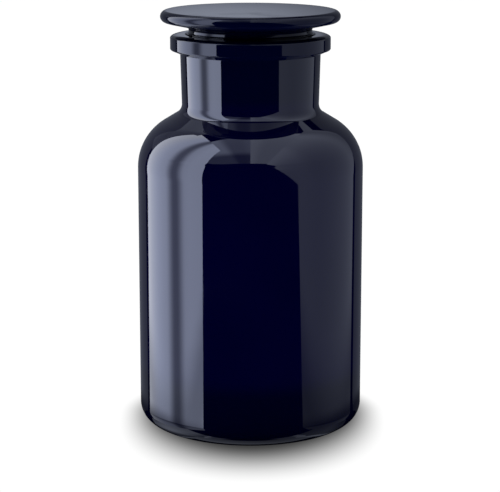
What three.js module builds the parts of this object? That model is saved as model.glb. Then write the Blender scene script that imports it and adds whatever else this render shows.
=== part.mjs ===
// Wide-neck apothecary jar of dark glass with a mushroom-head ground-glass stopper.
// Millimetres, +Z up. Origin: centre of the base, in the plane that the jar stands on.
// Both pieces are turned: each outline below lists radius and height, and a lathe sweeps it round Z.

import * as THREE from 'three';

// --- driving dimensions of the jar ---
const bodyRadius = 53.7;
const wall = 3.3;
const heelRadius = 9.5;
const shoulderStart = 124.8; // height where the straight body ends
const shoulderRadius = 25.6;
const shoulderTurn = 1.024; // how far the shoulder's round turns inwards, in radians
const neckFilletRadius = 5.4;
const neckRadius = 32.5; // outside, at the foot of the neck
const neckFlare = 0.65; // how much wider the neck is just under the lip
const lipRadius = 37.85;
const lipUnderside = 178.9; // height where the neck meets the lip
const lipSlope = 1.7; // rise of the lip's underside from neck to rim
const lipTop = 188;
const lipEdgeRadius = 0.7; // of the lip's lower edge
const lipRoundWidth = 5; // the lip's top rolls over to its side in a quarter of an ellipse
const lipRoundHeight = 1.6;

// --- the base ---
const bearingRingWidth = 3.5;
const puntHeight = 4; // rise of the hollow under the base
const floorThickness = 5;
const innerHeelRadius = 8;
const floorEdgeDrop = 2.5; // the floor is this much lower at its edge than in the middle

// --- the ground joint ---
const boreRadiusAtLip = 30.4;
const jointTaper = 0.05; // change of radius per millimetre of depth: a 1 in 10 ground taper
const jointGap = 0.3;
const mouthChamfer = 0.5;
const jointBottom = 159; // height of the open end of the plug

// --- driving dimensions of the stopper ---
const discRadius = 42.45;
const discFlatRadius = 39.35; // radius where the top face starts to roll over
const discEdgeHeight = 196.4; // height of the disc's widest point
const discTop = 199.2;
const discCrown = 0.3; // the top face is this much higher in the middle
const discUnderRadius = 2.7; // rounding from the rim to the underside
const discUnderAngle = 0.217; // slope of the underside, in radians
const waistRadius = 29.1; // narrowest radius, under the disc
const waistFilletRadius = 1.7; // hollow round from the disc's underside to the waist
const plugTop = 188.4; // height of the shelf where the waist meets the ground plug
const plugTopFilletRadius = 0.95; // hollow round from the waist out onto that shelf
const plugWall = 3.3;
const plugEndRadius = 1.1;
const hollowTop = 189;
const hollowDomeHeight = 10;

// --- fineness ---
const segments = 64;

const bottleGlass = { color: 0x0c0a1c, roughness: 0.06, metalness: 0 };
const stopperGlass = { color: 0x0d0b1e, roughness: 0.08, metalness: 0 };

const point = (radius, height) => new THREE.Vector2(radius, height);

// Points on a circular arc, angles in radians counted from straight outwards, both ends included.
function arc(centreR, centreZ, radius, from, to, steps) {
  return ellipse(centreR, centreZ, radius, radius, from, to, steps);
}

function ellipse(centreR, centreZ, halfWidth, halfHeight, from, to, steps) {
  const points = [];
  for (let i = 0; i <= steps; i += 1) {
    const angle = from + ((to - from) * i) / steps;
    const radius = centreR + halfWidth * Math.cos(angle);
    points.push(point(Math.max(radius, 0), centreZ + halfHeight * Math.sin(angle)));
  }
  return points;
}

// A shallow dome from the axis out to edgeRadius, or back in when inwards is true.
function dome(edgeRadius, edgeHeight, rise, steps, inwards = false) {
  const points = [];
  for (let i = 0; i < steps; i += 1) {
    const radius = (edgeRadius * i) / steps;
    points.push(point(radius, edgeHeight + rise * (1 - (radius / edgeRadius) ** 2)));
  }
  return inwards ? points.reverse() : points;
}

// Leaves out a point that repeats the one before it, such as where an arc starts on the last line's end.
function joined(...runs) {
  const minimumStep = 1e-4;
  const outline = [];
  for (const next of runs.flat()) {
    const last = outline[outline.length - 1];
    if (!last || last.distanceTo(next) > minimumStep) {
      outline.push(next);
    }
  }
  return outline;
}

// Outline of the shoulder: a big round, a short straight slope, and a small hollow round up into the neck.
// The slope needs no points of its own: it joins the ends of the two arcs. offset moves the outline inwards
// by the thickness of the wall.
function shoulder(offset, roundSteps, filletSteps) {
  const across = Math.cos(shoulderTurn);
  const up = Math.sin(shoulderTurn);
  const roundCentreR = bodyRadius - shoulderRadius;
  const filletCentreR = neckRadius + neckFilletRadius;
  const slopeWidth = roundCentreR - filletCentreR + (shoulderRadius + neckFilletRadius) * across;
  const slopeRise = (slopeWidth * across) / up;
  const filletCentreZ = shoulderStart + (shoulderRadius + neckFilletRadius) * up + slopeRise;
  const filletStart = shoulderTurn - Math.PI;
  return [
    ...arc(roundCentreR, shoulderStart, shoulderRadius - offset, 0, shoulderTurn, roundSteps),
    ...arc(filletCentreR, filletCentreZ, neckFilletRadius + offset, filletStart, -Math.PI, filletSteps),
  ];
}

const boreRadiusAt = (height) => boreRadiusAtLip - (lipTop - height) * jointTaper;

function bottleOutline() {
  const quarter = Math.PI / 2;
  const ringOuter = bodyRadius - heelRadius;
  const ringInner = ringOuter - bearingRingWidth;
  const innerRadius = bodyRadius - wall;
  const floorRadius = innerRadius - innerHeelRadius;
  const floorCentre = puntHeight + floorThickness;
  const floorEdge = floorCentre - floorEdgeDrop;
  const innerShoulder = shoulder(wall, 8, 4).reverse();
  return joined(
    dome(ringInner, 0, puntHeight, 4),
    [point(ringInner, 0)],
    arc(ringOuter, heelRadius, heelRadius, -quarter, 0, 6),
    shoulder(0, 10, 6),
    [point(neckRadius + neckFlare, lipUnderside)],
    arc(lipRadius - lipEdgeRadius, lipUnderside + lipSlope + lipEdgeRadius, lipEdgeRadius, -quarter, 0, 2),
    ellipse(lipRadius - lipRoundWidth, lipTop - lipRoundHeight, lipRoundWidth, lipRoundHeight, 0, quarter, 6),
    [point(boreRadiusAtLip + mouthChamfer, lipTop)],
    [point(boreRadiusAt(lipTop - mouthChamfer), lipTop - mouthChamfer)],
    [point(boreRadiusAt(jointBottom), jointBottom)],
    innerShoulder,
    arc(floorRadius, floorEdge + innerHeelRadius, innerHeelRadius, 0, -quarter, 4),
    dome(floorRadius, floorEdge, floorEdgeDrop, 3, true),
  );
}

function stopperOutline() {
  const quarter = Math.PI / 2;
  const plugRadiusAt = (height) => boreRadiusAt(height) - jointGap;
  const hollowRadius = plugRadiusAt(jointBottom) - plugWall;
  const outerEndR = plugRadiusAt(jointBottom) - plugEndRadius;
  const innerEndR = hollowRadius + plugEndRadius;
  const endCentreZ = jointBottom + plugEndRadius;
  // The underside of the disc leaves the rim's rounding at its slope and runs down to the waist.
  const rollWidth = discRadius - discFlatRadius;
  const rimCentreR = discRadius - discUnderRadius;
  const rimExitR = rimCentreR + discUnderRadius * Math.sin(discUnderAngle);
  const rimExitZ = discEdgeHeight - discUnderRadius * Math.cos(discUnderAngle);
  const undersideAt = (radius) => rimExitZ - (rimExitR - radius) * Math.tan(discUnderAngle);
  const shelfCentreR = waistRadius + plugTopFilletRadius;
  const shelfCentreZ = plugTop + plugTopFilletRadius;
  const filletCentreR = waistRadius + waistFilletRadius;
  const filletCentreZ = undersideAt(filletCentreR) - waistFilletRadius / Math.cos(discUnderAngle);
  return joined(
    ellipse(0, hollowTop - hollowDomeHeight, hollowRadius, hollowDomeHeight, quarter, 0, 5),
    arc(innerEndR, endCentreZ, plugEndRadius, -Math.PI, -quarter, 2),
    arc(outerEndR, endCentreZ, plugEndRadius, -quarter, 0, 2),
    [point(plugRadiusAt(plugTop), plugTop)],
    arc(shelfCentreR, shelfCentreZ, plugTopFilletRadius, -quarter, -Math.PI, 3),
    arc(filletCentreR, filletCentreZ, waistFilletRadius, Math.PI, quarter + discUnderAngle, 4),
    arc(rimCentreR, discEdgeHeight, discUnderRadius, discUnderAngle - quarter, 0, 5),
    ellipse(discFlatRadius, discEdgeHeight, rollWidth, discTop - discEdgeHeight, 0, quarter, 5),
    dome(discFlatRadius, discTop, discCrown, 3, true),
  );
}

// A lathe turns its outline about Y; the quarter turn stands it up along Z.
function turned(name, outline, look) {
  const geometry = new THREE.LatheGeometry(outline, segments);
  geometry.rotateX(Math.PI / 2);
  const mesh = new THREE.Mesh(geometry, new THREE.MeshStandardMaterial(look));
  mesh.name = name;
  return mesh;
}

const jar = new THREE.Group();
jar.add(turned('bottle', bottleOutline(), bottleGlass));
jar.add(turned('stopper', stopperOutline(), stopperGlass));

export default jar;
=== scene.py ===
"""Wide-neck apothecary jar of near-black violet glass with a mushroom-head ground-glass stopper.

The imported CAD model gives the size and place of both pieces. Each is rebuilt here as a fine lathed mesh
inside the same box. Its polished, ground and worn zones come from its outline, and one procedural glass
material shows them.
"""

import math

import bpy
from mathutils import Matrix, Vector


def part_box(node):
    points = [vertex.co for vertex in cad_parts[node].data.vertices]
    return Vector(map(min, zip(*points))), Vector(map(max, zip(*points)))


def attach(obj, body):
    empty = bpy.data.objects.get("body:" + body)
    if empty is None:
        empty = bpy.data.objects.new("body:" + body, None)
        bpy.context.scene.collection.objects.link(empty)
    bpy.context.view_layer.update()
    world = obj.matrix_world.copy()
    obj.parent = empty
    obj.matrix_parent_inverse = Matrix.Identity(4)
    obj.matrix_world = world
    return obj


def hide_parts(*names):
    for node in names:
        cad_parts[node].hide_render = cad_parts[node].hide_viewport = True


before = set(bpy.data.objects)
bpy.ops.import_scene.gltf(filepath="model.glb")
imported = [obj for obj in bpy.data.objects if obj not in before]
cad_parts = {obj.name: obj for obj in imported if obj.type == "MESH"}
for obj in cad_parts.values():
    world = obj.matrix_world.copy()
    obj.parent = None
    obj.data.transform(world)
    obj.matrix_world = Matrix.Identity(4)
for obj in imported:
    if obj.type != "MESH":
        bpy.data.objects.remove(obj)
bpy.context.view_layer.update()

MM = 0.001
QUARTER = math.pi / 2

# --- sizes taken from the frame, in metres ---
bottle_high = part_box("bottle")[1]
stopper_low, stopper_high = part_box("stopper")
BODY_RADIUS = bottle_high.x
LIP_TOP = bottle_high.z
DISC_RADIUS = stopper_high.x
PLUG_BOTTOM = stopper_low.z
STOPPER_TOP = stopper_high.z

# --- the jar's own proportions, in metres, as the CAD model has them ---
WALL = 3.3 * MM
HEEL_RADIUS = 9.5 * MM
SHOULDER_START = 124.8 * MM
SHOULDER_RADIUS = 25.6 * MM
SHOULDER_TURN = 1.024
NECK_FILLET = 5.4 * MM
NECK_RADIUS = 32.5 * MM
NECK_TOP_RADIUS = 33.15 * MM
LIP_RADIUS = 37.85 * MM
LIP_UNDERSIDE = LIP_TOP - 9.1 * MM
LIP_SLOPE = 1.7 * MM
LIP_EDGE = 0.8 * MM
LIP_ROUND_WIDTH = 5 * MM
LIP_ROUND_HEIGHT = 1.6 * MM
BORE_RADIUS = 30.4 * MM
MOUTH_CHAMFER = 0.5 * MM
JOINT_TAPER = 0.05
JOINT_GAP = 0.3 * MM
BEARING_RING = 3.5 * MM
PUNT_HEIGHT = 4 * MM
FLOOR_THICKNESS = 5 * MM
FLOOR_CROWN = 2.5 * MM
INNER_HEEL = 8 * MM

# --- the stopper's proportions ---
DISC_FLAT_RADIUS = DISC_RADIUS - 3.1 * MM
DISC_CROWN = 0.3 * MM
DISC_TOP = STOPPER_TOP - DISC_CROWN
DISC_EDGE_HEIGHT = DISC_TOP - 2.8 * MM
DISC_UNDER_RADIUS = 2.7 * MM
DISC_UNDER_ANGLE = 0.217
WAIST_RADIUS = 29.1 * MM
WAIST_FILLET = 1.7 * MM
PLUG_TOP = LIP_TOP + 0.4 * MM
PLUG_TOP_FILLET = 0.95 * MM
GRINDING_TOP = LIP_TOP - 1.5 * MM
PLUG_WALL = 3.3 * MM
PLUG_END = 1.1 * MM
HOLLOW_TOP = 189 * MM
HOLLOW_DOME = 10 * MM

# --- fineness of the meshes ---
SEGMENTS = 256
LONG_STEP = 4 * MM
SHORT_STEP = 0.35 * MM
FEWEST_ARC_STEPS = 6
MOST_ARC_STEPS = 48
HOLD = 0.08 * MM
SAME_POINT = 0.01 * MM
ON_AXIS = 0.001 * MM

# --- small moulded detail ---
SEAM_DEPTH = 0.05 * MM
SEAM_ANGLE = 0.02
KNURLS = 64
KNURL_DEPTH = 0.15 * MM

# --- finishes, kept on each point of an outline as (ground, worn) ---
POLISHED = (0.0, 0.0)
GROUND = (1.0, 0.0)
WORN = (0.0, 1.0)

# --- how strongly each surface mirrors the studio: a film of handling dulls the lip and the stopper, and
# smudges the stopper more ---
CLEAN_GLOSS = 0.5
LIP_GLOSS = 0.3
STOPPER_GLOSS = 0.22
STOPPER_HAZE = 2.5


# ---------------------------------------------------------------- outlines


def line(start, end, finish=POLISHED):
    """Points from start to end, with one close to each end so that the shading stays flat between them."""
    length = math.dist(start, end)
    steps = max(1, round(length / LONG_STEP))
    places = {0.0, 1.0, *(i / steps for i in range(steps))}
    if length > 4 * HOLD:
        places |= {HOLD / length, 1 - HOLD / length}
    return [
        (start[0] + (end[0] - start[0]) * t, start[1] + (end[1] - start[1]) * t, finish)
        for t in sorted(places)
    ]


def oval(centre, half_width, half_height, start, end):
    """Points on an elliptical arc; angles in radians from straight outwards."""
    length = abs(end - start) * max(half_width, half_height)
    steps = max(FEWEST_ARC_STEPS, min(MOST_ARC_STEPS, round(length / SHORT_STEP)))
    points = []
    for i in range(steps + 1):
        angle = start + (end - start) * i / steps
        radius = centre[0] + half_width * math.cos(angle)
        points.append((max(radius, 0.0), centre[1] + half_height * math.sin(angle), POLISHED))
    return points


def arc(centre, radius, start, end):
    return oval(centre, radius, radius, start, end)


def dome(edge_radius, edge_height, rise):
    """A shallow dome, from the axis out to its edge."""
    steps = round(edge_radius / LONG_STEP)
    points = []
    for i in range(steps + 1):
        t = i / steps
        points.append((edge_radius * t, edge_height + rise * (1 - t * t), POLISHED))
    return points


def joined(*runs):
    """One outline out of several runs, without the points that repeat the one before."""
    outline = []
    for point in (p for run in runs for p in run):
        if not outline or math.dist(outline[-1][:2], point[:2]) > SAME_POINT:
            outline.append(point)
    return outline


def bore_radius(height):
    """The neck's ground bore narrows downwards."""
    return BORE_RADIUS - (LIP_TOP - height) * JOINT_TAPER


def shoulder(offset):
    """The shoulder's big round, a short straight slope and a small hollow round, moved inwards by offset."""
    across, up = math.cos(SHOULDER_TURN), math.sin(SHOULDER_TURN)
    round_r = BODY_RADIUS - SHOULDER_RADIUS
    fillet_r = NECK_RADIUS + NECK_FILLET
    slope_width = round_r - fillet_r + (SHOULDER_RADIUS + NECK_FILLET) * across
    fillet_z = SHOULDER_START + (SHOULDER_RADIUS + NECK_FILLET) * up + slope_width * across / up
    big = arc((round_r, SHOULDER_START), SHOULDER_RADIUS - offset, 0, SHOULDER_TURN)
    small = arc((fillet_r, fillet_z), NECK_FILLET + offset, SHOULDER_TURN - math.pi, -math.pi)
    return big + line(big[-1][:2], small[0][:2]) + small


def bottle_outline():
    ring_outer = BODY_RADIUS - HEEL_RADIUS
    ring_inner = ring_outer - BEARING_RING
    inner_radius = BODY_RADIUS - WALL
    floor_radius = inner_radius - INNER_HEEL
    floor_edge = PUNT_HEIGHT + FLOOR_THICKNESS - FLOOR_CROWN
    outer_shoulder = shoulder(0)
    inner_shoulder = shoulder(WALL)[::-1]
    neck_foot = outer_shoulder[-1][:2]
    lip_corner = (LIP_RADIUS - LIP_EDGE, LIP_UNDERSIDE + LIP_SLOPE + LIP_EDGE)
    round_centre = (LIP_RADIUS - LIP_ROUND_WIDTH, LIP_TOP - LIP_ROUND_HEIGHT)
    mouth = (BORE_RADIUS + MOUTH_CHAMFER, LIP_TOP)
    joint_top = LIP_TOP - MOUTH_CHAMFER
    joint = [(bore_radius(z), z) for z in (joint_top, PLUG_BOTTOM)]
    ground_from = (bore_radius(GRINDING_TOP), GRINDING_TOP)
    return joined(
        dome(ring_inner, 0, PUNT_HEIGHT),
        line((ring_inner, 0), (ring_outer, 0), WORN),
        arc((ring_outer, HEEL_RADIUS), HEEL_RADIUS, -QUARTER, 0),
        line((BODY_RADIUS, HEEL_RADIUS), (BODY_RADIUS, SHOULDER_START)),
        outer_shoulder,
        line(neck_foot, (NECK_TOP_RADIUS, LIP_UNDERSIDE)),
        line((NECK_TOP_RADIUS, LIP_UNDERSIDE), (lip_corner[0], lip_corner[1] - LIP_EDGE)),
        arc(lip_corner, LIP_EDGE, -QUARTER, 0),
        line((LIP_RADIUS, lip_corner[1]), (LIP_RADIUS, round_centre[1])),
        oval(round_centre, LIP_ROUND_WIDTH, LIP_ROUND_HEIGHT, 0, QUARTER),
        line((round_centre[0], LIP_TOP), mouth),
        line(mouth, joint[0]),
        line(joint[0], ground_from),
        line(ground_from, joint[1], GROUND),
        inner_shoulder,
        line((inner_radius, SHOULDER_START), (inner_radius, floor_edge + INNER_HEEL)),
        arc((floor_radius, floor_edge + INNER_HEEL), INNER_HEEL, 0, -QUARTER),
        dome(floor_radius, floor_edge, FLOOR_CROWN)[::-1],
    )


def stopper_outline():
    plug_end_radius = bore_radius(PLUG_BOTTOM) - JOINT_GAP
    hollow_radius = plug_end_radius - PLUG_WALL
    end_height = PLUG_BOTTOM + PLUG_END
    plug_top = (bore_radius(PLUG_TOP) - JOINT_GAP, PLUG_TOP)
    ground_to = (bore_radius(GRINDING_TOP) - JOINT_GAP, GRINDING_TOP)
    rim_centre = (DISC_RADIUS - DISC_UNDER_RADIUS, DISC_EDGE_HEIGHT)
    rim_exit = (
        rim_centre[0] + DISC_UNDER_RADIUS * math.sin(DISC_UNDER_ANGLE),
        rim_centre[1] - DISC_UNDER_RADIUS * math.cos(DISC_UNDER_ANGLE),
    )
    fillet_r = WAIST_RADIUS + WAIST_FILLET
    underside = rim_exit[1] - (rim_exit[0] - fillet_r) * math.tan(DISC_UNDER_ANGLE)
    fillet_z = underside - WAIST_FILLET / math.cos(DISC_UNDER_ANGLE)
    fillet = arc((fillet_r, fillet_z), WAIST_FILLET, math.pi, QUARTER + DISC_UNDER_ANGLE)
    shelf_fillet = arc(
        (WAIST_RADIUS + PLUG_TOP_FILLET, PLUG_TOP + PLUG_TOP_FILLET), PLUG_TOP_FILLET, -QUARTER, -math.pi
    )
    return joined(
        oval((0, HOLLOW_TOP - HOLLOW_DOME), hollow_radius, HOLLOW_DOME, QUARTER, 0),
        line((hollow_radius, HOLLOW_TOP - HOLLOW_DOME), (hollow_radius, end_height)),
        arc((hollow_radius + PLUG_END, end_height), PLUG_END, -math.pi, -QUARTER),
        arc((plug_end_radius - PLUG_END, end_height), PLUG_END, -QUARTER, 0),
        line((plug_end_radius, end_height), ground_to, GROUND),
        line(ground_to, plug_top),
        line(plug_top, shelf_fillet[0][:2]),
        shelf_fillet,
        fillet,
        line(fillet[-1][:2], rim_exit),
        arc(rim_centre, DISC_UNDER_RADIUS, DISC_UNDER_ANGLE - QUARTER, 0),
        oval(
            (DISC_FLAT_RADIUS, DISC_EDGE_HEIGHT),
            DISC_RADIUS - DISC_FLAT_RADIUS,
            DISC_TOP - DISC_EDGE_HEIGHT,
            0,
            QUARTER,
        ),
        dome(DISC_FLAT_RADIUS, DISC_TOP, DISC_CROWN)[::-1],
    )


# ---------------------------------------------------------------- meshes


def lathe(name, outline, shape=None):
    """Turns an outline round Z. shape(radius, height, angle, finish) may move a point a little."""
    vertices, finishes, rings = [], [], []
    for radius, height, finish in outline:
        count = 1 if radius < ON_AXIS else SEGMENTS
        rings.append((len(vertices), count))
        for i in range(count):
            angle = 2 * math.pi * i / SEGMENTS
            r, z = shape(radius, height, angle, finish) if shape else (radius, height)
            vertices.append((r * math.cos(angle), r * math.sin(angle), z))
            finishes.append(finish)
    faces = []
    for (low, low_count), (high, high_count) in zip(rings, rings[1:]):
        for i in range(SEGMENTS):
            j = (i + 1) % SEGMENTS
            if low_count == 1:
                faces.append((low, high + j, high + i))
            elif high_count == 1:
                faces.append((low + i, low + j, high))
            else:
                faces.append((low + i, low + j, high + j, high + i))
    mesh = bpy.data.meshes.new(name)
    mesh.from_pydata(vertices, [], faces)
    mesh.shade_smooth()
    for index, attribute in enumerate(("ground", "worn")):
        values = mesh.attributes.new(attribute, "FLOAT", "POINT")
        values.data.foreach_set("value", [f[index] for f in finishes])
    mesh.validate()
    piece = bpy.data.objects.new(name, mesh)
    bpy.context.scene.collection.objects.link(piece)
    return piece


def moulded(radius, height, angle, finish):
    """The jar's moulded detail: two faint seams up its sides and knurls under its bearing ring."""
    on_side = radius > BODY_RADIUS - 0.5 * WALL and height > 0.5 * HEEL_RADIUS
    if on_side:
        from_seam = abs(math.remainder(angle, math.pi))
        radius -= SEAM_DEPTH * min(1.0, from_seam / SEAM_ANGLE)
    if finish == WORN:
        height += KNURL_DEPTH * (0.5 - 0.5 * math.cos(KNURLS * angle))
    return radius, height


# ---------------------------------------------------------------- materials


class Nodes:
    """Short calls for building a material's node tree."""

    def __init__(self, material):
        material.use_nodes = True
        self.tree = material.node_tree
        self.tree.nodes.clear()

    def add(self, kind, links=None, **settings):
        node = self.tree.nodes.new(kind)
        for key, value in settings.items():
            if hasattr(node, key):
                setattr(node, key, value)
            else:
                node.inputs[key.replace("_", " ")].default_value = value
        for socket, source in (links or {}).items():
            self.link(source, node.inputs[socket])
        return node

    def link(self, source, target):
        output = source if isinstance(source, bpy.types.NodeSocket) else source.outputs[0]
        self.tree.links.new(output, target)

    def math(self, operation, a, b=None):
        node = self.tree.nodes.new("ShaderNodeMath")
        node.operation = operation
        for socket, value in zip(node.inputs, (a, b)):
            if isinstance(value, (int, float)):
                socket.default_value = value
            elif value is not None:
                self.link(value, socket)
        return node

    def remap(self, value, low, high, to_low, to_high):
        node = self.tree.nodes.new("ShaderNodeMapRange")
        node.interpolation_type = "SMOOTHSTEP"
        for socket, number in zip(node.inputs[1:5], (low, high, to_low, to_high)):
            socket.default_value = number
        self.link(value, node.inputs[0])
        return node

    def along(self, place, direction):
        """How far a place lies along a direction."""
        product = self.add("ShaderNodeVectorMath", {0: place}, operation="DOT_PRODUCT")
        product.inputs[1].default_value = direction
        return product.outputs["Value"]

    def mix_number(self, factor, a, b):
        node = self.tree.nodes.new("ShaderNodeMix")
        for socket, value in zip((node.inputs[0], node.inputs[2], node.inputs[3]), (factor, a, b)):
            if isinstance(value, (int, float)):
                socket.default_value = value
            else:
                self.link(value, socket)
        return node

    def mix_colour(self, factor, a, b):
        node = self.tree.nodes.new("ShaderNodeMix")
        node.data_type = "RGBA"
        self.link(factor, node.inputs[0])
        for socket, value in zip((node.inputs[6], node.inputs[7]), (a, b)):
            if isinstance(value, tuple):
                socket.default_value = value
            else:
                self.link(value, socket)
        return node.outputs[2]


# --- the glass's own colour, the painted shade of its base and of everything from its neck up, and the heights ---
# where the base's painted shade ends and the neck's begins ---
NAVY = (0.0001, 0.0003, 0.0230, 1)
VIOLET = (0.0003, 0.0003, 0.0255, 1)
# These two are painted shade, darker than the glass's own colour: the base's, and that from the neck up.
BASE_SHADE_TONE = (0.0001, 0.0006, 0.0135, 1)
NECK_SHADE_TONE = (0.0001, 0.0011, 0.0165, 1)
GROUND_TONE = (0.040, 0.042, 0.062, 1)
BASE_SHADE_START = 24 * MM
BASE_SHADE_END = 1.4 * BASE_SHADE_START
NECK_START = 156 * MM
GLASS_IOR = 1.52

# --- roughness of polished glass, clean and smudged, and its range in the ground and worn zones ---
CLEAN_ROUGHNESS = 0.020
SMUDGED_ROUGHNESS = 0.075
GROUND_ROUGHNESS = (0.42, 0.58)
WORN_ROUGHNESS = (0.10, 0.45)

# --- depths of the relief, in metres, and how much finer the grinding marks are up the axis than across ---
WAVE_DEPTH = 0.035 * MM
PIT_DEPTH = 0.0012 * MM
GRINDING_DEPTH = 0.02 * MM
RING_MARKS = (1, 1, 40)


def dark_glass(name, gloss_level, haze=1.0):
    """Near-black violet glass. haze scales its smudges."""
    material = bpy.data.materials.new(name)
    nodes = Nodes(material)
    place = nodes.add("ShaderNodeTexCoord").outputs["Object"]
    ground = nodes.add("ShaderNodeAttribute", attribute_name="ground").outputs["Fac"]
    worn = nodes.add("ShaderNodeAttribute", attribute_name="worn").outputs["Fac"]

    def noise(scale, detail, stretch=(1, 1, 1)):
        """Noise of so many lumps to the metre."""
        mapped = nodes.add("ShaderNodeMapping", {"Vector": place}, Scale=stretch)
        return nodes.add("ShaderNodeTexNoise", {"Vector": mapped}, Scale=scale, Detail=detail)

    # Colour: the melt is a little more violet in some places. Painted shade darkens the base, and everything
    # from the neck up with the stopper included, where the thick floor and the plug inside the neck would
    # keep light from shining through. The ground zones scatter light.
    melt = nodes.remap(noise(scale=22, detail=2), 0.35, 0.65, 0, 1)
    body = nodes.mix_colour(melt, NAVY, VIOLET)
    height = nodes.add("ShaderNodeSeparateXYZ", {0: place}).outputs["Z"]
    # Where the painted shade lies: full in the base and fading above it, and from the neck up.
    base_shade = nodes.remap(height, BASE_SHADE_START, BASE_SHADE_END, 1, 0)
    neck_shade = nodes.remap(height, NECK_START, NECK_START + NECK_FILLET, 0, 1)
    body = nodes.mix_colour(base_shade, body, BASE_SHADE_TONE)
    body = nodes.mix_colour(neck_shade, body, NECK_SHADE_TONE)
    colour = nodes.mix_colour(ground, body, GROUND_TONE)

    # Gloss: fire-polished, with faint handling smudges; matt where ground or worn.
    smudge = noise(scale=26, detail=5)
    smudge = nodes.remap(smudge, 0.52, 0.72, CLEAN_ROUGHNESS * haze, SMUDGED_ROUGHNESS * haze)
    grain = nodes.remap(noise(scale=1800, detail=2), 0.3, 0.7, *GROUND_ROUGHNESS)
    scuffs = nodes.remap(noise(scale=900, detail=3), 0.4, 0.7, *WORN_ROUGHNESS)
    gloss = nodes.mix_number(ground, smudge, grain)
    gloss = nodes.mix_number(worn, gloss, scuffs)

    # Relief: slow waves left by the mould, fine pitting, and the ring marks of the grinding wheel.
    waves = noise(scale=34, detail=2)
    waves = nodes.add("ShaderNodeBump", {"Height": waves}, Strength=1.0, Distance=WAVE_DEPTH)
    pits = noise(scale=420, detail=3)
    pits = nodes.add("ShaderNodeBump", {"Height": pits, "Normal": waves}, Strength=1.0, Distance=PIT_DEPTH)
    rings = noise(scale=60, detail=4, stretch=RING_MARKS)
    frost = nodes.math("ADD", rings, noise(scale=2600, detail=2))
    marks = {"Height": nodes.math("MULTIPLY", frost, ground), "Normal": pits}
    relief = nodes.add("ShaderNodeBump", marks, Strength=1.0, Distance=GRINDING_DEPTH)

    shader = nodes.add(
        "ShaderNodeBsdfPrincipled",
        {"Base Color": colour, "Roughness": gloss, "Normal": relief},
        IOR=GLASS_IOR,
    )
    shader.inputs["Specular IOR Level"].default_value = gloss_level
    nodes.add("ShaderNodeOutputMaterial", {"Surface": shader})
    return material


# ---------------------------------------------------------------- the two pieces


def finish_piece(piece, body):
    """Each CAD node has the name of its body, and its piece replaces it."""
    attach(piece, body)
    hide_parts(body)


def jar():
    """The jar, whose lip is a little duller than the rest of its polished outside."""
    piece = lathe("jar_glass", bottle_outline(), moulded)
    piece.data.materials.append(dark_glass("bottle_glass", CLEAN_GLOSS))
    piece.data.materials.append(dark_glass("lip_glass", LIP_GLOSS))
    for face in piece.data.polygons:
        outside_mouth = math.hypot(*face.center[:2]) > BORE_RADIUS + MOUTH_CHAMFER
        face.material_index = int(outside_mouth and face.center.z > LIP_UNDERSIDE)
    finish_piece(piece, "bottle")


def stopper():
    """The stopper, polished on its head and ground on its plug, as its outline says."""
    piece = lathe("stopper_glass_head", stopper_outline())
    piece.data.materials.append(dark_glass("stopper_glass", STOPPER_GLOSS, STOPPER_HAZE))
    finish_piece(piece, "stopper")


jar()
stopper()


# ---------------------------------------------------------------- studio

# Places in metres, from the middle of the jar's base. A softbox stands on the left and a reflector on the
# right, with a ceiling, a backdrop, and low cards under them. Reflections see them, and the camera doesn't.
SIDE = 1.5
CEILING = 3.3
CEILING_FRONT = -4.3
BACKDROP = 2.2
BACKDROP_TOP = 2.0
LOW_CARD = -1.0

COOL = (0.87, 0.95, 1.18, 1)
COOLER = (0.82, 0.91, 1.24, 1)
PALE = (0.90, 0.95, 1.12, 1)

SOFTBOX_LIGHT = 3.7
REFLECTOR_LIGHT = 0.49
CEILING_LEFT_LIGHT = 0.75
CEILING_RIGHT_LIGHT = 1.05
CEILING_SLOPE_LIGHT = 0.7
BACKDROP_LIGHT = 0.15
LOW_CARD_LIGHT = 0.30
LOW_LEFT_LIGHT = 3.4
LOW_RIGHT_LIGHT = 0.5
FULL_WHITE = 1.02
UNLIT = (0.001, 0.001, 0.002, 1)

ALONG_X = (1, 0, 0)
ALONG_Y = (0, 1, 0)
ALONG_Z = (0, 0, 1)
FOLD_CORE = 0.1


def scaled(colour, strength):
    return tuple(strength * channel for channel in colour[:3]) + (1,)


def sheet(name, corners, material):
    """A flat sheet that only reflections see. ceiling() lets its sheets light the glass's own colour too."""
    mesh = bpy.data.meshes.new(name)
    mesh.from_pydata(corners, [], [tuple(range(len(corners)))])
    mesh.materials.append(material)
    card = bpy.data.objects.new(name, mesh)
    bpy.context.scene.collection.objects.link(card)
    card.visible_camera = False
    card.visible_diffuse = False
    card.visible_transmission = False
    card.visible_shadow = False
    return card


def lit_sheet(name, corners, colour, strength, factors, tint=None):
    """A sheet that shines. factors(nodes, place) gives nodes to multiply its light by.

    tint = (direction, start, end, colour) turns its colour into another one on the way from start to end.
    """
    material = bpy.data.materials.new(name)
    nodes = Nodes(material)
    light = nodes.add("ShaderNodeEmission", Color=scaled(colour, strength), Strength=1.0)
    place = nodes.add("ShaderNodeTexCoord").outputs["Object"]
    if tint:
        direction, start, end, other = tint
        share = nodes.remap(nodes.along(place, direction), start, end, 0, 1)
        mixed = nodes.mix_colour(share, scaled(colour, strength), scaled(other, strength))
        nodes.link(mixed, light.inputs["Color"])
    glow = None
    for factor in factors(nodes, place):
        glow = nodes.math("MULTIPLY", glow, factor) if glow else factor
    if glow:
        nodes.link(glow, light.inputs["Strength"])
    nodes.add("ShaderNodeOutputMaterial", {"Surface": light})
    return sheet(name, corners, material)


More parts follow.
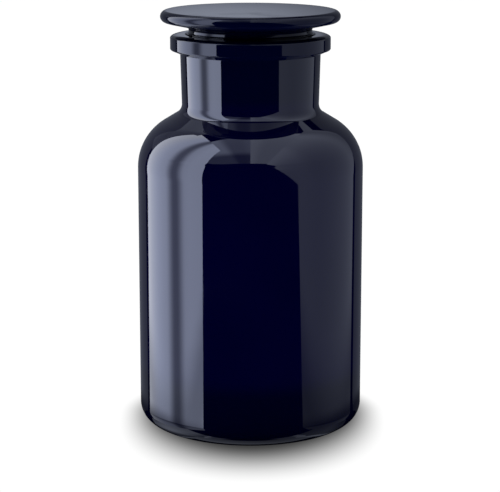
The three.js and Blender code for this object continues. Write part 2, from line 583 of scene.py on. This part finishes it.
def panel(name, corners, strength, fades=(), colour=COOL, fold=None, tint=None):
    """A studio panel. Each fade is (direction, start, end, factor at start, factor at end).

    fold = (y, lean, half width, factor) is the dark strip where two widths of the panel's cloth meet. It is
    fully dark over FOLD_CORE of its half width.
    """

    def factors(nodes, place):
        for direction, start, end, at_start, at_end in fades:
            yield nodes.remap(nodes.along(place, direction), start, end, at_start, at_end)
        if fold:
            y, lean, half_width, factor = fold
            away = nodes.math("SUBTRACT", nodes.along(place, (0, 1, -lean)), y)
            away = nodes.math("ABSOLUTE", away)
            yield nodes.remap(away, FOLD_CORE * half_width, half_width, factor, 1)

    return lit_sheet(name, corners, colour, strength, factors, tint)


def softbox_left():
    """The tall softbox, with a fold in its cloth and a duller band low down."""
    outline = [(-1.31, LOW_CARD), (1.25, LOW_CARD), (1.15, -0.25), (1.42, CEILING), (-1.31, CEILING)]
    corners = [(-SIDE, y, z) for y, z in outline]
    bright_front = (ALONG_Y, -0.8, -0.4, 1.14, 1)
    low_fade = (ALONG_Z, -0.50, -0.37, 0.58, 1)
    lowest = (ALONG_Z, -0.70, -0.55, 1.7, 1)
    fades = [bright_front, low_fade, lowest]
    fold = (-0.22, 0.08, 0.36, 0.27)
    whiter_behind = (ALONG_Y, 0.35, 1.1, PALE)
    panel("softbox_left", corners, SOFTBOX_LIGHT, fades, COOLER, fold, whiter_behind)


def reflector_right():
    """The reflector. It widens upwards, and shines more there."""
    front_foot, front_top = (-0.66, LOW_CARD), (-4.48, CEILING)
    rear_edge = [(1.07, LOW_CARD), (1.19, 0), (2.07, 1.35), (2.45, CEILING)]
    corners = [(SIDE, y, z) for y, z in (front_foot, *rear_edge, front_top)]
    rear_fade = (ALONG_Y, -1.2, -0.3, 1.12, 0.95)
    rear_dim = (ALONG_Y, 0.9, 1.9, 1, 0.45)
    low_fade = (ALONG_Z, -0.50, -0.33, 0.38, 1)
    lowest = (ALONG_Z, -0.70, -0.55, 2.6, 1)
    high_glow = (ALONG_Z, 0.4, 3.2, 1, 2.3)
    fades = [rear_fade, low_fade, lowest, high_glow, rear_dim]
    panel("reflector_right", corners, REFLECTOR_LIGHT, fades)


def ceiling():
    """Light from above. It also lights the glass's own colour from there, as the floor does from below."""
    outline = [(-4.0, CEILING_FRONT), (0.0, CEILING_FRONT), (0.0, 0.5), (-SIDE, 0.1), (-4.0, 0.1)]
    corners = [(x, y, CEILING) for x, y in outline]
    front_fade = (ALONG_Y, -2.5, -1.5, 0.25, 1)
    near_softbox = (ALONG_X, -1.3, -0.8, 2.2, 1)
    near_middle = (ALONG_X, -0.4, 0, 1, 1.2)
    fades = [front_fade, near_softbox, near_middle]
    left = panel("ceiling_left", corners, CEILING_LEFT_LIGHT, fades, COOLER)

    outline = [(0.0, CEILING_FRONT), (SIDE, CEILING_FRONT), (SIDE, 1.7), (0.5, 0.7), (0.0, 0.5)]
    corners = [(x, y, CEILING) for x, y in outline]
    bright_middle = (ALONG_X, 0, 0.7, 1.3, 1)
    right = panel("ceiling_right", corners, CEILING_RIGHT_LIGHT, [bright_middle])

    slope_front, slope_top = 1.2, 2.9
    corners = [
        (-SIDE, BACKDROP, BACKDROP_TOP),
        (0.5, BACKDROP, BACKDROP_TOP),
        (0.3, slope_front, slope_top),
        (-SIDE, slope_front, slope_top),
    ]
    left_fade = (ALONG_X, -1.4, -0.6, 0.5, 1.5)
    middle_fade = (ALONG_X, -0.6, 0.0, 1, 0.67)
    right_fade = (ALONG_X, 0.0, 0.4, 1, 0.4)
    slope = panel("ceiling_slope", corners, CEILING_SLOPE_LIGHT, [left_fade, middle_fade, right_fade])

    for card in (left, right, slope):
        card.visible_diffuse = True


# The rear corners' cards. For each: its side, how far out it starts, and how brightly it shines.
REAR_CORNER_LOW = 0.9
REAR_CORNER_TOP = 4.4
REAR_CORNER_FAR = 3.6
REAR_CORNERS = (("left", -1, 1.5, 0.30), ("right", 1, 2.0, 0.33))


def rear_corners():
    """Dim cards in the upper corners behind the jar, past the ends of the softbox and the reflector."""
    low, top, far = REAR_CORNER_LOW, REAR_CORNER_TOP, REAR_CORNER_FAR
    for side, way, near, strength in REAR_CORNERS:
        outline = [(near, low), (far, low), (far, top), (near, top)]
        panel("rear_corner_" + side, [(way * x, BACKDROP, z) for x, z in outline], strength)


def low_cards():
    """What the undersides mirror: a card under the jar, and a brighter one on each side, out to the panel."""
    outline = ((-0.5, -0.33), (0.6, -0.33), (0.6, 0.55), (-0.5, 0.55))
    right_fade = (ALONG_X, -0.3, 0.3, 1, 0.7)
    panel("low_card", [(x, y, LOW_CARD) for x, y in outline], LOW_CARD_LIGHT, [right_fade])

    outline = ((-SIDE, -0.45), (-0.5, -0.33), (-0.3, 1.4), (-SIDE, 1.4))
    inner_fade = (ALONG_X, -0.95, -0.45, 1, 0.1)
    rear_fade = (ALONG_Y, 0.3, 1.3, 1, 0.3)
    panel("low_card_left", [(x, y, LOW_CARD) for x, y in outline], LOW_LEFT_LIGHT, [inner_fade, rear_fade])

    outline = ((0.6, -0.33), (SIDE, -0.45), (SIDE, 1.2), (0.4, 1.2))
    rear_fade = (ALONG_Y, 0.3, 1.0, 1, 0.3)
    panel("low_card_right", [(x, y, LOW_CARD) for x, y in outline], LOW_RIGHT_LIGHT, [rear_fade])


# The table's edge lets only part of the low light through to the jar's heel. Its strips lie beside the
# jar, a little under its base. For each: its side, the distance from the jar's foot where it starts, where
# it has turned dark, its inside edge, and what it passes there.
TABLE_DEPTH = -0.05
TABLE_REACH = 0.26
TABLE_STRIPS = (("left", -1, 0.254, 0.217, 0.052, 0.22), ("right", 1, 0.260, 0.228, 0.062, 0.27))


def table_shades():
    for side, way, outside, dark, inside, passed in TABLE_STRIPS:
        material = bpy.data.materials.new("table_shade_" + side)
        nodes = Nodes(material)
        place = nodes.add("ShaderNodeTexCoord").outputs["Object"]
        away = nodes.add("ShaderNodeVectorMath", {0: place}, operation="LENGTH").outputs["Value"]
        clear = nodes.add("ShaderNodeBsdfTransparent")
        nodes.link(nodes.remap(away, dark, outside, passed, 1), clear.inputs["Color"])
        nodes.add("ShaderNodeOutputMaterial", {"Surface": clear})
        reach = TABLE_REACH
        outline = [(outside, -reach), (inside, -reach), (inside, reach), (outside, reach)]
        sheet("table_shade_" + side, [(way * x, y, TABLE_DEPTH) for x, y in outline], material)


def backdrop():
    outline = [(-2.3, -0.95), (2.34, -0.95), (2.34, BACKDROP_TOP), (-2.3, BACKDROP_TOP)]
    right_fade = (ALONG_X, -0.6, 0.6, 1, 0.75)
    panel("backdrop", [(x, BACKDROP, z) for x, z in outline], BACKDROP_LIGHT, [right_fade])


GLOW_PLACE = (-0.06, BACKDROP - 0.01, 0.53)
GLOW_REACH = 0.34
GLOW_CORE = 0.04
GLOW_LIGHT = 0.46
GLOW_EDGE_LIGHT = 0.13


def backdrop_glow():
    """The soft bright patch low on the backdrop, which lies in the stopper's flat top."""
    reach = GLOW_REACH
    corners = [(x, 0, z) for x, z in ((-reach, -reach), (reach, -reach), (reach, reach), (-reach, reach))]

    def factors(nodes, place):
        away = nodes.add("ShaderNodeVectorMath", {0: place}, operation="LENGTH").outputs["Value"]
        yield nodes.remap(away, GLOW_CORE, reach, GLOW_LIGHT, GLOW_EDGE_LIGHT)

    patch = lit_sheet("backdrop_glow", corners, COOL, 1.0, factors)
    patch.location = GLOW_PLACE


# The contact shadow is painted into the floor's colour: half strength on this radius round a point a little
# behind the axis and to its right, but drawn out and softer in front, as light from above and behind the jar
# would cast it.
SHADOW_RADIUS = 55.7 * MM
SHADOW_BACK = 8 * MM
SHADOW_RIGHT = 0.8 * MM
SHADOW_DRAWN_OUT = 1.45
SHADOW_SIDE_BLUR = 11 * MM
SHADOW_FRONT_BLUR = 20 * MM
SHADOW_FLOOR = 0.045
FLOOR_REACH = 4.0
FLOOR_DROP = 0.05 * MM


def floor():
    """A white sweep just at full white, with a soft contact shadow painted into its colour round the jar's
    foot.
    """
    mesh = bpy.data.meshes.new("floor")
    reach = FLOOR_REACH
    corners = [(-reach, -reach), (reach, -reach), (reach, reach), (-reach, reach)]
    mesh.from_pydata([(x, y, -FLOOR_DROP) for x, y in corners], [], [(0, 1, 2, 3)])
    plane = bpy.data.objects.new("floor", mesh)
    bpy.context.scene.collection.objects.link(plane)
    material = bpy.data.materials.new("floor_white")
    nodes = Nodes(material)
    place = nodes.add("ShaderNodeTexCoord").outputs["Object"]
    place = nodes.add("ShaderNodeSeparateXYZ", {0: place}).outputs
    forward = nodes.math("SUBTRACT", SHADOW_BACK, place["Y"])
    backward = nodes.math("MULTIPLY", forward, -1.0)
    forward = nodes.math("DIVIDE", forward, SHADOW_DRAWN_OUT)
    across = nodes.math("SUBTRACT", place["X"], SHADOW_RIGHT)
    away = nodes.add("ShaderNodeCombineXYZ", {0: across, 1: nodes.math("MAXIMUM", forward, backward)})
    away = nodes.add("ShaderNodeVectorMath", {0: away}, operation="LENGTH").outputs["Value"]
    facing = nodes.math("DIVIDE", forward, away)
    blur = nodes.remap(facing, 0, 1, SHADOW_SIDE_BLUR, SHADOW_FRONT_BLUR)
    beyond = nodes.math("DIVIDE", nodes.math("SUBTRACT", away, SHADOW_RADIUS), blur)
    # The painted contact shadow, darkest at SHADOW_FLOOR.
    shade = nodes.remap(beyond, -1, 1, SHADOW_FLOOR, 1)
    light = nodes.add("ShaderNodeEmission", {"Color": shade}, Strength=FULL_WHITE)
    nodes.add("ShaderNodeOutputMaterial", {"Surface": light})
    mesh.materials.append(material)
    plane.visible_glossy = False
    plane.visible_shadow = False


def surroundings():
    """White to the camera and through the glass, almost black to everything else."""
    world = bpy.data.worlds.new("studio")
    bpy.context.scene.world = world
    nodes = Nodes(world)
    path = nodes.add("ShaderNodeLightPath").outputs
    seen = nodes.math("MAXIMUM", path["Is Camera Ray"], path["Is Transmission Ray"])
    white = nodes.add("ShaderNodeBackground", Color=(1, 1, 1, 1), Strength=FULL_WHITE)
    dark = nodes.add("ShaderNodeBackground", Color=UNLIT, Strength=1.0)
    mixed = nodes.add("ShaderNodeMixShader", {0: seen, 1: dark, 2: white})
    nodes.add("ShaderNodeOutputWorld", {"Surface": mixed})


# The camera stands in front of the jar, a little above its top, and looks down at it.
CAMERA_PLACE = (-0.2 * MM, -884.85 * MM, 277.87 * MM)
CAMERA_DOWN = math.radians(12.249)
CAMERA_LENS_MM = 135.2
CAMERA_SENSOR_MM = 36


def camera():
    data = bpy.data.cameras.new("camera")
    data.sensor_width = CAMERA_SENSOR_MM
    data.lens = CAMERA_LENS_MM
    view = bpy.data.objects.new("camera", data)
    bpy.context.scene.collection.objects.link(view)
    view.location = CAMERA_PLACE
    view.rotation_euler = (QUARTER - CAMERA_DOWN, 0, 0)
    bpy.context.scene.camera = view


softbox_left()
reflector_right()
ceiling()
rear_corners()
low_cards()
table_shades()
backdrop()
backdrop_glow()
floor()
surroundings()
camera()
bpy.context.scene.view_settings.view_transform = "Standard"
